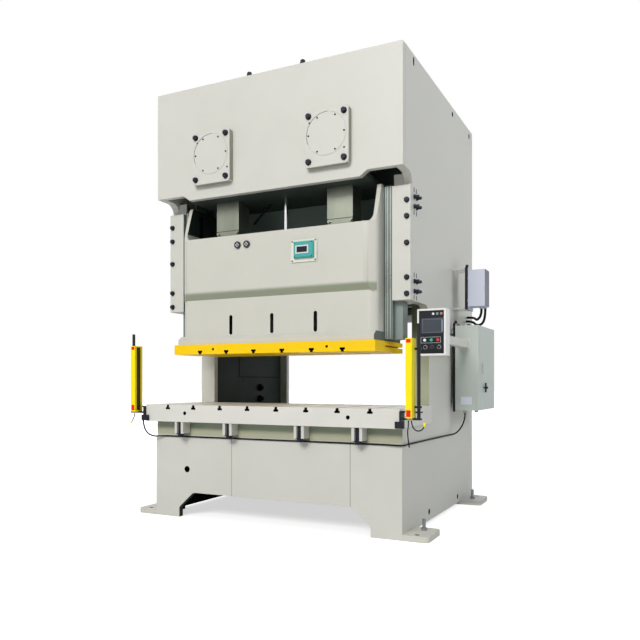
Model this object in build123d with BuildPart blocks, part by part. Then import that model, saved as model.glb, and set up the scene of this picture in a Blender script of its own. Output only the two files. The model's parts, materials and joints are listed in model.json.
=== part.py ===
import math
import os

from build123d import *

# Mechanical stamping press with an open-back gap frame and two driving points.
# The origin is on the floor at the centre of the four anchor holes, +X to the
# right of a person at the table, +Y to the rear, +Z up. Sizes in millimetres.

# Frame sizes
frame_width = 2580
frame_depth = 2450
side_plate = 75
column_width = 168
crown_front = 20
crown_plate = 60
crown_above_crank = 695
underside_above_slide = 430
crown_lip = 50
lip_inset = 390
throat_depth = 762
throat_above_plate = 352
throat_radius = 110
guide_front = 270
crown_fillet = 100
wall = 60
bed_height = 939
bed_rise = 152
bed_step = 12
arch_inset = 282
arch_height = 247
arch_run = 165
arch_drop = 150
arch_radius = 70
arch_foot_radius = 40

# Feet
foot_length = 370
foot_width = 225
foot_plate = 50
foot_corner = 38
rear_foot_behind = 570
anchor_inset = 60
anchor_offset = 112
anchor_hole = 22
screw_inset = 250
screw_radius = 15

# Table and slide sizes
bolster_overlap = 26
bolster_overhang = 121
bolster_gap = 7
bolster_thickness = 163
slot_pitch = 300
slot_neck = 28
slot_head = 50
slot_neck_depth = 24
slot_head_depth = 20
daylight = 486
slide_plate_overlap = 25
slide_plate_front = -12
slide_clearance = 72
slide_plate_thickness = 94
slide_inset = 92
slide_front = 40
slide_rise = 1030
slide_recess = 28
band_below_top = 512
band_height = 83
band_bulge = 0.2
band_shoulder = 0.45
flange_height = 51
flange_bevel = 33
slide_corner = 110
stroke = 280

# Guide sizes
gib_plate = 52
wing_front = 307
wing_back = 433
wing_below_crown = 100
liner = 12
running_gap = 0.3

# Drive sizes
point_share = 0.47132
pin_above_slide = 638
throw = stroke / 2
journal = 85
crank_pin = 75
web_half = 95
shaft_fit = 0.08
plunger_width = 257
plunger_front = 249
plunger_depth = 197
plunger_above_slide = 100
bull_teeth = 47
pinion_teeth = 16
gear_spread = 1.14
gear_behind = 970
gear_width = 120
pinion_shaft_radius = 60
flywheel_radius = 480
flywheel_behind = 440
flywheel_width = 190
pulley_radius = 95
motor_offset = 450
motor_drop = 812
motor_radius = 190

# Heights and places worked out from the driving sizes
half = frame_width / 2
inner = half - side_plate
column = half - column_width
slide_half = column - slide_inset
bolster_end = half + bolster_overlap
slide_plate_end = slide_half + slide_plate_overlap
rear_foot_start = frame_depth - rear_foot_behind
bed_front = -(rear_foot_start + foot_length) / 2
bed_step_height = bed_height - bed_rise
bolster_span = (-bolster_overhang, throat_depth - bolster_gap)
slide_back = throat_depth - slide_clearance
rear_wall = frame_depth - wall
gear_front = frame_depth - gear_behind
flywheel_front = frame_depth - flywheel_behind
bolster_top = bed_height + bolster_thickness
plate_bottom = bolster_top + daylight
plate_top = plate_bottom + slide_plate_thickness
slide_top = plate_top + slide_rise
slide_band_top = slide_top - band_below_top
slide_band_bottom = slide_band_top - band_height
throat_top = plate_top + throat_above_plate
crown_underside = slide_top + underside_above_slide
wing_top = crown_underside - wing_below_crown
plunger_bottom = slide_top + plunger_above_slide
pin_height = slide_top + pin_above_slide
crank_height = pin_height + throw
frame_height = crank_height + crown_above_crank
point = point_share * half
gear_distance = gear_spread * point
gear_module = 2 * gear_distance / (bull_teeth + pinion_teeth)
pinion_height = crank_height - math.sqrt(gear_distance**2 - point**2)
motor_height = pinion_height - motor_drop


def back(distance):
    """The Y place at a distance behind the front face of the bed."""
    return bed_front + distance


def block(x, y, z, mode=Mode.ADD):
    """A block between pairs of limits; y counts from the front face of the bed."""
    middle = (sum(x) / 2, back(sum(y) / 2), sum(z) / 2)
    with Locations(middle):
        Box(x[1] - x[0], y[1] - y[0], z[1] - z[0], mode=mode)


def rod_y(x, z, radius, y, mode=Mode.ADD):
    """A round bar along Y between two distances behind the bed's front face."""
    with Locations(Location((x, back(sum(y) / 2), z), (90, 0, 0))):
        Cylinder(radius, y[1] - y[0], mode=mode)


def rod_z(x, y, radius, z, mode=Mode.ADD):
    """An upright round bar at a distance behind the bed's front face."""
    with Locations((x, back(y), sum(z) / 2)):
        Cylinder(radius, z[1] - z[0], mode=mode)


def rod_x(y, z, radius, x, mode=Mode.ADD):
    """A round bar along X."""
    with Locations(Location((sum(x) / 2, back(y), z), (0, 90, 0))):
        Cylinder(radius, x[1] - x[0], mode=mode)


def hex_front(x, y, z, across, height):
    """A hexagon head that stands forward from the plane y."""
    with BuildSketch(Plane.XZ.offset(-back(y))) as outline:
        with Locations((x, z)):
            RegularPolygon(across / 2, 6, major_radius=False)
    extrude(outline.sketch, amount=height)


def hex_side(side, x, y, z, across, height):
    """A hexagon head that stands out sideways from the plane x."""
    with BuildSketch(Plane.YZ.offset(side * x)) as outline:
        with Locations((back(y), z)):
            RegularPolygon(across / 2, 6, major_radius=False)
    extrude(outline.sketch, amount=side * height)


def hex_up(x, y, z, across, height):
    """A hexagon head that stands up from the plane z."""
    with BuildSketch(Plane.XY.offset(z)) as outline:
        with Locations((x, back(y))):
            RegularPolygon(across / 2, 6, major_radius=False)
    extrude(outline.sketch, amount=height)


def prism_x(points, x, mode=Mode.ADD):
    """A prism along X whose corners are distances behind the bed's front and heights."""
    with BuildSketch(Plane.YZ.offset(x[0])) as outline:
        with BuildLine():
            Polyline(*[(back(y), z) for y, z in points], close=True)
        make_face()
    extrude(outline.sketch, amount=x[1] - x[0], mode=mode)


pieces = {}


def keep(name, builder):
    """Labels a finished piece and puts it on the list to be written."""
    builder.part.label = name
    pieces[name] = builder.part


# Side frames: a plate with the gap cut in it, stiffened at the throat, guides and rear

guide_back = 560
channel_x = inner - 10
lift_slot_y = 309
lift_slot_z = frame_height - 63
lift_slot_size = (36, 79)
lift_hole_radius = 28
lift_hole_ys = (frame_depth - 858, frame_depth - 147)
lift_hole_z = frame_height - 73
low_hole_ys = (throat_depth + 2, frame_depth - 655)
low_hole_z = 105
low_hole_radius = 20
under_relief = 30


def side_frame(side):
    """One side of the frame, on the left for side -1 and on the right for +1."""
    plate_front = crown_front + crown_plate
    low = guide_front - crown_fillet
    turn = crown_underside - crown_fillet
    inside = throat_depth - throat_radius
    with BuildPart() as frame:
        with BuildSketch(Plane.YZ.offset(side * (half - side_plate / 2))):
            with BuildLine():
                Polyline(
                    (back(low), crown_underside),
                    (back(plate_front), crown_underside),
                    (back(plate_front), frame_height),
                    (back(frame_depth), frame_height),
                    (back(frame_depth), 0),
                    (back(rear_foot_start), 0),
                    (back(rear_foot_start), under_relief),
                    (back(foot_length), under_relief),
                    (back(foot_length), 0),
                    (back(wall), 0),
                    (back(wall), bed_height),
                    (back(throat_depth), bed_height),
                    (back(throat_depth), throat_top - throat_radius),
                )
                RadiusArc(
                    (back(throat_depth), throat_top - throat_radius),
                    (back(inside), throat_top),
                    -throat_radius,
                )
                Polyline((back(inside), throat_top), (back(guide_front), throat_top), (back(guide_front), turn))
                RadiusArc((back(guide_front), turn), (back(low), crown_underside), -crown_fillet)
            make_face()
        extrude(amount=side_plate / 2, both=True)
        within = sorted((side * column, side * inner))
        throat_back = throat_depth + wall
        block(within, (throat_depth, throat_back), (bed_height, throat_top))
        block(within, (guide_front, guide_back), (throat_top, crown_underside))
        block(within, (rear_wall, frame_depth), (0, frame_height - wall))
        channel = sorted((side * (column - 1), side * channel_x))
        channel_y = (wing_front - liner - running_gap, wing_back + liner + running_gap)
        block(channel, channel_y, (throat_top - 1, crown_underside + 1), mode=Mode.SUBTRACT)
        bore = sorted((side * (inner - 1), side * (half + 1)))
        for y in lift_hole_ys:
            rod_x(y, lift_hole_z, lift_hole_radius, bore, mode=Mode.SUBTRACT)
        for y in low_hole_ys:
            rod_x(y, low_hole_z, low_hole_radius, bore, mode=Mode.SUBTRACT)
        with BuildSketch(Plane.YZ.offset(bore[0])):
            with Locations((back(lift_slot_y), lift_slot_z)):
                SlotOverall(lift_slot_size[1], lift_slot_size[0], rotation=90)
        extrude(amount=bore[1] - bore[0], mode=Mode.SUBTRACT)
    return frame


for side, name in ((-1, "left_side_frame"), (1, "right_side_frame")):
    keep(name, side_frame(side))

# Crown plates

plate_back = crown_front + crown_plate
gear_plate_front = frame_depth - 750
gear_plate_back = gear_plate_front + wall
shelf_height = throat_top
bearing_drop = 420
shelf_front = frame_depth - 890
guide_plate_bottom = crown_underside - 47
guide_plate_top = crown_underside + 3
guide_plate_half = half - 350
rod_y_place = 340
rod_radius = 19
plunger_gap = 1
bolt_room = 30

with BuildPart() as crown_front_plate:
    with BuildSketch(Plane.XZ.offset(-back(plate_back))):
        with BuildLine():
            lip_bottom = crown_underside - crown_lip
            lip_run = 70
            lip_half_width = half - lip_inset
            Polyline(
                (-half, frame_height),
                (-half, crown_underside),
                (-lip_half_width - lip_run, crown_underside),
                (-lip_half_width, lip_bottom),
                (lip_half_width, lip_bottom),
                (lip_half_width + lip_run, crown_underside),
                (half, crown_underside),
                (half, frame_height),
                close=True,
            )
        make_face()
        with Locations((-point, crank_height), (point, crank_height)):
            Circle(journal + shaft_fit, mode=Mode.SUBTRACT)
    extrude(amount=crown_plate)
keep("crown_front_plate", crown_front_plate)

with BuildPart() as crown_top_plate:
    top_thickness = 40
    block((-inner, inner), (plate_back, frame_depth), (frame_height - top_thickness, frame_height))
keep("crown_top_plate", crown_top_plate)

with BuildPart() as crown_bottom_plate:
    block(
        (-guide_plate_half, guide_plate_half),
        (plate_back, throat_depth),
        (guide_plate_bottom, guide_plate_top),
    )
    for side in (-1, 1):
        reach = plunger_width / 2 + plunger_gap
        block(
            (side * point - reach, side * point + reach),
            (plunger_front - bolt_room, plunger_front + plunger_depth + plunger_gap),
            (guide_plate_bottom - 1, guide_plate_top + 1),
            mode=Mode.SUBTRACT,
        )
    rod_z(0, rod_y_place, rod_radius + 1, (guide_plate_bottom - 1, guide_plate_top + 1), mode=Mode.SUBTRACT)
keep("crown_bottom_plate", crown_bottom_plate)

with BuildPart() as crank_bearing_plate:
    block((-inner, inner), (throat_depth, throat_depth + wall), (throat_top, frame_height - top_thickness))
    for side in (-1, 1):
        bore_y = (throat_depth - 1, throat_depth + wall + 1)
        rod_y(side * point, crank_height, journal + shaft_fit, bore_y, mode=Mode.SUBTRACT)
keep("crank_bearing_plate", crank_bearing_plate)

with BuildPart() as gear_bearing_plate:
    plate_low = pinion_height - bearing_drop
    block((-inner, inner), (gear_plate_front, gear_plate_back), (plate_low, frame_height - top_thickness))
    bore_y = (gear_plate_front - 1, gear_plate_back + 1)
    for side in (-1, 1):
        rod_y(side * point, crank_height, journal + shaft_fit, bore_y, mode=Mode.SUBTRACT)
    rod_y(0, pinion_height, pinion_shaft_radius + shaft_fit, bore_y, mode=Mode.SUBTRACT)
keep("gear_bearing_plate", gear_bearing_plate)

with BuildPart() as crown_rear_plate:
    block((-column, column), (rear_wall, frame_depth), (shelf_height, frame_height - top_thickness))
    block((-column, column), (shelf_front, rear_wall), (shelf_height, shelf_height + wall))
    rod_y(0, pinion_height, pinion_shaft_radius + shaft_fit, (rear_wall - 1, frame_depth + 1), mode=Mode.SUBTRACT)
keep("crown_rear_plate", crown_rear_plate)

# Bed

bed_hole_x = 377 - half
bed_hole_z = 472
bed_hole_radius = 31
bed_top_thickness = 60
rib_x = 400
rib_thickness = 40
outer_lug_inset = 363
inner_lug_x = 375
lug_xs = (outer_lug_inset - half, -inner_lug_x, inner_lug_x, half - outer_lug_inset)
lug_width = 100
lug_slot = 46
lug_front = -110
lug_height = 113
lug_bottom = bed_height - lug_height

with BuildPart() as bed_front_plate:
    arch_half_width = half - arch_inset
    crest = arch_half_width - arch_run
    shoulder = arch_height - arch_drop
    block((-half, half), (0, wall), (0, bed_step_height))
    with BuildSketch(Plane.XZ.offset(-back(wall))) as arch:
        with BuildLine():
            Polyline(
                (-arch_half_width, 0),
                (-arch_half_width, shoulder),
                (-crest, arch_height),
                (crest, arch_height),
                (arch_half_width, shoulder),
                (arch_half_width, 0),
                close=True,
            )
        make_face()
        fillet(arch.vertices().group_by(Axis.Y)[-1], arch_radius)
        fillet(arch.vertices().group_by(Axis.Y)[1], arch_foot_radius)
    extrude(amount=wall, mode=Mode.SUBTRACT)
    rod_y(bed_hole_x, bed_hole_z, bed_hole_radius, (-1, wall + 1), mode=Mode.SUBTRACT)
keep("bed_front_plate", bed_front_plate)

with BuildPart() as bed_box:
    bed_under = bed_height - bed_top_thickness
    block((-half, half), (bed_step, wall), (bed_step_height, bed_height))
    block((-inner, inner), (wall, rear_wall), (bed_under, bed_height))
    for side in (-1, 1):
        rib = (side * rib_x - rib_thickness / 2, side * rib_x + rib_thickness / 2)
        block(rib, (wall, rear_wall), (arch_height, bed_under))
    block((-column, column), (rear_wall - rib_thickness, rear_wall), (0, bed_under))
keep("bed_box", bed_box)

with BuildPart() as hold_down_lugs:
    for x in lug_xs:
        block((x - lug_width / 2, x + lug_width / 2), (lug_front, bed_step), (lug_bottom, bed_height))
        slot = (x - lug_slot / 2, x + lug_slot / 2)
        block(slot, (lug_front - 1, lug_front + 60), (lug_bottom - 1, bed_height + 1), mode=Mode.SUBTRACT)
keep("hold_down_lugs", hold_down_lugs)

with BuildPart() as hold_down_bolts:
    bolt_radius = 18
    bolt_y = lug_front + 33
    washer = 8
    for x in lug_xs:
        rod_z(x, bolt_y, bolt_radius, (lug_bottom - washer, bed_height))
        block((x - 34, x + 34), (bolt_y - 30, bolt_y + 30), (lug_bottom - washer, lug_bottom))
        hex_up(x, bolt_y, lug_bottom - washer - 24, 55, 24)
keep("hold_down_bolts", hold_down_bolts)

# Feet and levelling screws

foot_spans = ((0, foot_length), (rear_foot_start, rear_foot_start + foot_length))
hole_ys = (anchor_inset, rear_foot_start + foot_length - anchor_inset)
screw_ys = (screw_inset, rear_foot_start + foot_length - screw_inset)
foot_x = half + anchor_offset

with BuildPart() as foot_plates:
    with BuildSketch() as outlines:
        for side in (-1, 1):
            for span in foot_spans:
                with Locations((side * (half + foot_width / 2), back(sum(span) / 2))):
                    Rectangle(foot_width, foot_length)
            with Locations(*[(side * foot_x, back(y)) for y in hole_ys]):
                Circle(anchor_hole, mode=Mode.SUBTRACT)
            with Locations(*[(side * foot_x, back(y)) for y in screw_ys]):
                Circle(screw_radius, mode=Mode.SUBTRACT)
        by_width = outlines.vertices().group_by(Axis.X)
        fillet(by_width[0] + by_width[-1], foot_corner)
    extrude(amount=foot_plate)
keep("foot_plates", foot_plates)

with BuildPart() as levelling_screws:
    screw_top = 150
    for side in (-1, 1):
        for y in screw_ys:
            rod_z(side * foot_x, y, screw_radius, (0, screw_top))
            hex_up(side * foot_x, y, foot_plate, 46, 24)
keep("levelling_screws", levelling_screws)

# Bolster with slots that open upwards

hole_x = half - 440
hole_drop = 79
hole_radius = 18
slot_floor = bolster_top - slot_neck_depth - slot_head_depth
bolster_slots = int(2 * bolster_end / slot_pitch)

with BuildPart() as bolster_plate:
    block((-bolster_end, bolster_end), bolster_span, (bed_height, bolster_top))
    for n in range(bolster_slots):
        x = (n - (bolster_slots - 1) / 2) * slot_pitch
        through = (bolster_span[0] - 1, bolster_span[1] + 1)
        block((x - slot_neck / 2, x + slot_neck / 2), through, (slot_floor, bolster_top + 1), mode=Mode.SUBTRACT)
        head_top = slot_floor + slot_head_depth
        block((x - slot_head / 2, x + slot_head / 2), through, (slot_floor, head_top), mode=Mode.SUBTRACT)
    for side in (-1, 1):
        depth = (bolster_span[0] - 1, bolster_span[0] + 60)
        rod_y(side * hole_x, bolster_top - hole_drop, hole_radius, depth, mode=Mode.SUBTRACT)
keep("bolster_plate", bolster_plate)

# Slide

ear_inner = slide_half - 38
ear_foot_y = 88
ear_head_y = 205
ear_rise = 348
ear_fillet = 75
ear_top = slide_top + ear_rise
deck_wall = 60
deck_front = 80
deck_height = slide_top - 100
wing_root = column - 7
wing_tip = channel_x - liner - 1
wing_bottom = plate_top + 18
inner_wing_front = 250
inner_wing_back = 480
face_slot_xs = (-450, 0, 450)
face_slot_size = (36, 187)
face_slot_z = plate_top + 185
pocket_pitch = 0.612 * slide_half
pocket_half = 0.46 * pocket_pitch
pocket_front = 150
pocket_z = (face_slot_z - face_slot_size[1] / 2 - 6, deck_height - 72)
deck_x = (-slide_half + deck_wall, slide_half - deck_wall)
deck_y = (slide_front + deck_front, slide_back - deck_wall)

with BuildPart() as slide_ears:
    ear_root = slide_top - ear_fillet
    with BuildSketch(Plane.XY.offset(ear_root)):
        with Locations((0, back((slide_front + slide_back) / 2))):
            RectangleRounded(2 * slide_half, slide_back - slide_front, slide_corner)
    extrude(amount=ear_top - ear_root)
    with BuildSketch(Plane.XZ.offset(-back(slide_back + 1))) as between_ears:
        with Locations((0, slide_top + ear_rise)):
            Rectangle(2 * ear_inner, 2 * ear_rise)
        fillet(between_ears.vertices().group_by(Axis.Y)[0], ear_fillet)
    extrude(amount=slide_back - slide_front + 2, mode=Mode.SUBTRACT)
    block(deck_x, deck_y, (ear_root - 1, ear_top), mode=Mode.SUBTRACT)
    prism_x(
        [
            (slide_front - 1, slide_top),
            (ear_foot_y, slide_top),
            (ear_head_y, ear_top + 1),
            (slide_front - 1, ear_top + 1),
        ],
        (-slide_half - 1, slide_half + 1),
        Mode.SUBTRACT,
    )

with BuildPart() as slide_body:
    recessed = slide_front + slide_recess
    flange_top = plate_top + flange_height
    flange_front = slide_plate_front + 32
    for front, corner, low in (
        (slide_front, slide_corner, slide_band_bottom),
        (recessed, slide_corner - slide_recess, plate_top),
    ):
        with BuildSketch(Plane.XY.offset(low)):
            with Locations((0, back((front + slide_back) / 2))):
                RectangleRounded(2 * slide_half, slide_back - front, corner)
        extrude(amount=slide_top - low)
    span = (-slide_half - 2, slide_half + 2)
    prism_x(
        [
            (slide_front - 2, slide_band_top),
            (slide_front, slide_band_top),
            (slide_front + band_bulge * slide_recess, slide_band_top - band_shoulder * band_height),
            (recessed, slide_band_bottom),
            (slide_front - 2, slide_band_bottom),
        ],
        span,
        Mode.SUBTRACT,
    )
    bevel_top = flange_top + flange_bevel
    prism_x([(recessed, bevel_top), (flange_front, flange_top), (slide_back, flange_top), (slide_back, bevel_top)], span)
    block((-slide_half - 2, slide_half + 2), (flange_front, slide_back), (plate_top, flange_top))
    block(deck_x, deck_y, (deck_height, slide_top + 1), mode=Mode.SUBTRACT)
    add(slide_ears.part)
    for n in (-1, 0, 1):
        pocket_x = (n * pocket_pitch - pocket_half, n * pocket_pitch + pocket_half)
        block(pocket_x, (pocket_front, slide_back + 1), pocket_z, mode=Mode.SUBTRACT)
    for side in (-1, 1):
        root = sorted((side * (slide_half - 1), side * wing_root))
        tip = sorted((side * (wing_root - 1), side * wing_tip))
        block(root, (inner_wing_front, inner_wing_back), (wing_bottom, wing_top))
        block(tip, (wing_front, wing_back), (wing_bottom, wing_top))
    with BuildSketch(Plane.XZ.offset(-back(pocket_front + 1))):
        with Locations(*[(x, face_slot_z) for x in face_slot_xs]):
            SlotOverall(face_slot_size[1], face_slot_size[0], rotation=90)
    extrude(amount=pocket_front + 2 - recessed, mode=Mode.SUBTRACT)
    rod_z(0, rod_y_place, rod_radius, (deck_height - 80, deck_height + 1), mode=Mode.SUBTRACT)
keep("slide_body", slide_body)

with BuildPart() as slide_plate:
    block((-slide_plate_end, slide_plate_end), (slide_plate_front, slide_back), (plate_bottom, plate_top))
    slide_slots = int(2 * slide_half / slot_pitch)
    for n in range(slide_slots):
        x = (n - (slide_slots - 1) / 2) * slot_pitch
        through = (slide_plate_front - 1, slide_back + 1)
        neck_top = plate_bottom + 16
        head = (neck_top, neck_top + slot_head_depth)
        block((x - slot_neck / 2, x + slot_neck / 2), through, (plate_bottom - 1, neck_top + 1), mode=Mode.SUBTRACT)
        block((x - slot_head / 2, x + slot_head / 2), through, head, mode=Mode.SUBTRACT)
    groove_front = 241 + slide_plate_front
    groove = (plate_bottom + 43, plate_bottom + 57)
    dowel_z = plate_bottom + slide_plate_thickness / 2
    for side in (-1, 1):
        across = sorted((side * (slide_plate_end - 45), side * (slide_plate_end + 1)))
        block(across, (groove_front, slide_back + 1), groove, mode=Mode.SUBTRACT)
        depth = (slide_plate_front - 1, slide_plate_front + 40)
        rod_y(side * 2 * slot_pitch, dowel_z, 12, depth, mode=Mode.SUBTRACT)
keep("slide_plate", slide_plate)

# Bearing covers on the front of the crown

cover_half_width = 213
cover_half_height = 251
cover_height = crank_height - 29
cover_thickness = 60
cover_corner = 32
cover_bolt_x = 171
cover_bolt_z = 201
cap_radius = 190
cap_thickness = 12
cap_screw_radius = 172
journal_end = 5

with BuildPart() as bearing_covers:
    for side in (-1, 1):
        with BuildSketch(Plane.XZ.offset(-back(crown_front))):
            with Locations((side * point, cover_height)):
                RectangleRounded(2 * cover_half_width, 2 * cover_half_height, cover_corner)
        extrude(amount=cover_thickness)
        recess = (journal_end - 10, crown_front + 1)
        rod_y(side * point, crank_height, journal + 10, recess, mode=Mode.SUBTRACT)
keep("bearing_covers", bearing_covers)

cover_face = crown_front - cover_thickness

with BuildPart() as bearing_caps:
    for side in (-1, 1):
        rod_y(side * point, crank_height, cap_radius, (cover_face - cap_thickness, cover_face))
keep("bearing_caps", bearing_caps)

with BuildPart() as cover_bolts:
    for side in (-1, 1):
        for dx in (-cover_bolt_x, cover_bolt_x):
            for dz in (-cover_bolt_z, cover_bolt_z):
                hex_front(side * point + dx, cover_face, cover_height + dz, 52, 26)
        for n in range(6):
            turn = math.radians(60 * n)
            x = side * point + cap_screw_radius * math.cos(turn)
            z = crank_height + cap_screw_radius * math.sin(turn)
            hex_front(x, cover_face - cap_thickness, z, 20, 10)
keep("cover_bolts", cover_bolts)

with BuildPart() as lifting_studs:
    stud_x = 287
    stud_y = 139
    stem = 25
    for side in (-1, 1):
        rod_z(side * stud_x, stud_y, 9, (frame_height, frame_height + stem))
        hex_up(side * stud_x, stud_y, frame_height + stem, 38, 30)
keep("lifting_studs", lifting_studs)

# Gibs that guide the slide

gib_top = crown_underside - 112
gib_face = guide_front - gib_plate
gib_bolt_x = half - 33
gib_bolt_rises = (54, 195, 494, 724, 864)
adjuster_ys = (guide_front + 46, guide_front + 93, guide_front + 158)
adjuster_rises = (87, 176, 837, 925)

with BuildPart() as gib_plates:
    for side in (-1, 1):
        block(sorted((side * column, side * half)), (gib_face, guide_front), (throat_top, gib_top))
keep("gib_plates", gib_plates)

with BuildPart() as gib_liners:
    liner_z = (throat_top + 4, crown_underside - 4)
    for side in (-1, 1):
        across = sorted((side * (column + 2), side * channel_x))
        edge = sorted((side * (channel_x - liner), side * channel_x))
        block(across, (wing_front - running_gap - liner, wing_front - running_gap), liner_z)
        block(across, (wing_back + running_gap, wing_back + running_gap + liner), liner_z)
        block(edge, (wing_front - running_gap, wing_back + running_gap), liner_z)
keep("gib_liners", gib_liners)

with BuildPart() as gib_bolts:
    for side in (-1, 1):
        for rise in gib_bolt_rises:
            hex_front(side * gib_bolt_x, gib_face, throat_top + rise, 30, 20)
        for rise in adjuster_rises:
            for y in adjuster_ys:
                hex_side(side, half, y, throat_top + rise, 34, 24)
keep("gib_bolts", gib_bolts)

# Plungers, each with a slotted yoke that its crank works in

yoke_half = 275
yoke_slot_half = 230
yoke_slot_rise = 116
yoke_wall = 50
plunger_back = plunger_front + plunger_depth
plunger_neck = 85
plunger_base = 45
base_step = 6

with BuildPart() as plungers:
    for side in (-1, 1):
        x = side * point
        depth = (plunger_front, plunger_back)
        yoke = (pin_height - yoke_slot_rise - yoke_wall, pin_height + yoke_slot_rise + yoke_wall)
        middle = (plunger_front + plunger_back) / 2
        rod_z(x, middle, plunger_neck, (deck_height, plunger_bottom))
        block((x - plunger_width / 2, x + plunger_width / 2), depth, (plunger_bottom, yoke[0]))
        reach = plunger_width / 2 - base_step
        base_z = (plunger_bottom - plunger_base, plunger_bottom)
        block((x - reach, x + reach), (plunger_front + base_step, plunger_back - base_step), base_z)
        block((x - yoke_half, x + yoke_half), depth, yoke)
        slot = (pin_height - yoke_slot_rise, pin_height + yoke_slot_rise)
        through = (plunger_front - 1, plunger_back + 1)
        block((x - yoke_slot_half, x + yoke_slot_half), through, slot, mode=Mode.SUBTRACT)
keep("plungers", plungers)

with BuildPart() as plunger_bolts:
    bolt_reach = plunger_width / 2 - 20
    bolt_z = plunger_bottom - plunger_base / 2
    for side in (-1, 1):
        for dx in (-bolt_reach, bolt_reach):
            hex_front(side * point + dx, plunger_front + base_step, bolt_z, 26, 18)
keep("plunger_bolts", plunger_bolts)

with BuildPart() as adjusting_rod:
    rod_z(0, rod_y_place, rod_radius, (deck_height - 80, crown_underside + 148))
keep("adjusting_rod", adjusting_rod)

# Counter and plugs on the front of the slide

with BuildPart() as stroke_counter:
    base_x = (222, 481)
    lid_x = (base_x[0] + 37, base_x[1] - 24)
    base_z = (slide_top - 311, slide_top - 109)
    base_front = slide_front - 8
    lid_front = slide_front - 38
    lid_z = (base_z[0] + 33, base_z[1] - 20)
    block(base_x, (base_front, slide_front), base_z)
    block(lid_x, (lid_front, base_front), lid_z)
    chamfer(stroke_counter.faces().sort_by(Axis.Y)[0].edges(), 10)
    block((lid_x[0] + 25, lid_x[1] - 42), (lid_front - 4, lid_front), (lid_z[0] + 37, lid_z[1] - 37))
    for x in (base_x[0] + 13, base_x[1] - 13):
        for z in (base_z[0] + 14, base_z[1] - 13):
            hex_front(x, base_front, z, 14, 6)
keep("stroke_counter", stroke_counter)

with BuildPart() as slide_plugs:
    for x in (-352, -251):
        rod_y(x, slide_top - 98, 33, (slide_front - 16, slide_front))
keep("slide_plugs", slide_plugs)

# Cranks, gears and the slotted drive blocks

web_front = 195
web_thickness = 50
crank_front = journal_end
crank_back = gear_plate_back + 20
pin_span = (web_front + web_thickness, plunger_back + 4)


def crankshaft(side):
    """A crankshaft with its throw straight down."""
    x = side * point
    with BuildPart() as shaft:
        rod_y(x, crank_height, journal, (crank_front, web_front))
        rod_y(x, pin_height, crank_pin, pin_span)
        rod_y(x, crank_height, journal, (pin_span[1] + web_thickness, crank_back))
        for start in (web_front, pin_span[1]):
            web = (start, start + web_thickness)
            block((x - web_half, x + web_half), web, (pin_height - web_half, crank_height + journal - 5))
    return shaft


def gear_outline(x, z, teeth, phase):
    """The corner points of a gear's teeth about a centre; phase turns the first tooth."""
    pitch = teeth * gear_module / 2
    top = pitch + 0.8 * gear_module
    foot = pitch - 1.05 * gear_module
    step = 360 / teeth
    points = []
    for n in range(teeth):
        middle = phase + n * step
        for radius, share in ((foot, -0.32), (top, -0.12), (top, 0.12), (foot, 0.32)):
            turn = math.radians(middle + share * step)
            points.append((x + radius * math.cos(turn), z + radius * math.sin(turn)))
    return points


def gear(x, z, teeth, phase, bore, y):
    """A spur gear between two distances behind the bed's front face."""
    with BuildPart() as wheel:
        with BuildSketch(Plane.XZ.offset(-back(y[1]))):
            with BuildLine():
                Polyline(*gear_outline(x, z, teeth, phase), close=True)
            make_face()
        extrude(amount=y[1] - y[0])
        if bore:
            rod_y(x, z, bore, (y[0] - 1, y[1] + 1), mode=Mode.SUBTRACT)
    return wheel


gear_span = (gear_front, gear_front + gear_width)
pinion_step = 360 / pinion_teeth


def toward_pinion(side):
    """The direction from a crank's centre to the pinion's centre, in degrees."""
    return math.degrees(math.atan2(pinion_height - crank_height, -side * point))


first_gap = toward_pinion(1) + 180


def bull_phase(side):
    """The turn that puts a bull gear's tooth in the pinion's gap on this side."""
    line = toward_pinion(side) + 180
    miss = (first_gap - line + pinion_step / 2) % pinion_step - pinion_step / 2
    return toward_pinion(side) - miss * pinion_teeth / bull_teeth


block_half = 85

for side, name in ((-1, "left"), (1, "right")):
    keep(f"{name}_crankshaft", crankshaft(side))
    keep(
        f"{name}_bull_gear",
        gear(side * point, crank_height, bull_teeth, bull_phase(side), journal, gear_span),
    )
    with BuildPart() as drive_block:
        x = side * point
        depth = (plunger_front + 3, plunger_back - 3)
        block((x - block_half, x + block_half), depth, (pin_height - block_half, pin_height + block_half))
        rod_y(x, pin_height, crank_pin + shaft_fit, (depth[0] - 1, depth[1] + 1), mode=Mode.SUBTRACT)
    keep(f"{name}_drive_block", drive_block)

shaft_front = gear_front - 120
clutch_back = flywheel_front - 20
clutch_front = clutch_back - 120

pinion_shaft = gear(0, pinion_height, pinion_teeth, first_gap + pinion_step / 2, 0, gear_span)
with pinion_shaft:
    rod_y(0, pinion_height, pinion_shaft_radius, (shaft_front, frame_depth - 5))
keep("pinion_shaft", pinion_shaft)

with BuildPart() as clutch:
    clutch_radius = 250
    rod_y(0, pinion_height, clutch_radius, (clutch_front, clutch_back - 40))
    rod_y(0, pinion_height, clutch_radius - 40, (clutch_back - 40, clutch_back))
    rod_y(0, pinion_height, pinion_shaft_radius, (clutch_front - 1, clutch_back + 1), mode=Mode.SUBTRACT)
keep("clutch", clutch)

flywheel_span = (flywheel_front, flywheel_front + flywheel_width)
rim = 80
dish = 60
hub = 130

with BuildPart() as flywheel:
    rod_y(0, pinion_height, flywheel_radius, flywheel_span)
    with BuildSketch(Plane.XZ.offset(-back(flywheel_span[1] + 1))):
        with Locations((0, pinion_height)):
            Circle(flywheel_radius - rim)
            Circle(hub, mode=Mode.SUBTRACT)
    extrude(amount=dish + 1, mode=Mode.SUBTRACT)
    bore_y = (flywheel_span[0] - 1, flywheel_span[1] + 1)
    rod_y(0, pinion_height, pinion_shaft_radius + shaft_fit, bore_y, mode=Mode.SUBTRACT)
keep("flywheel", flywheel)

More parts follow.
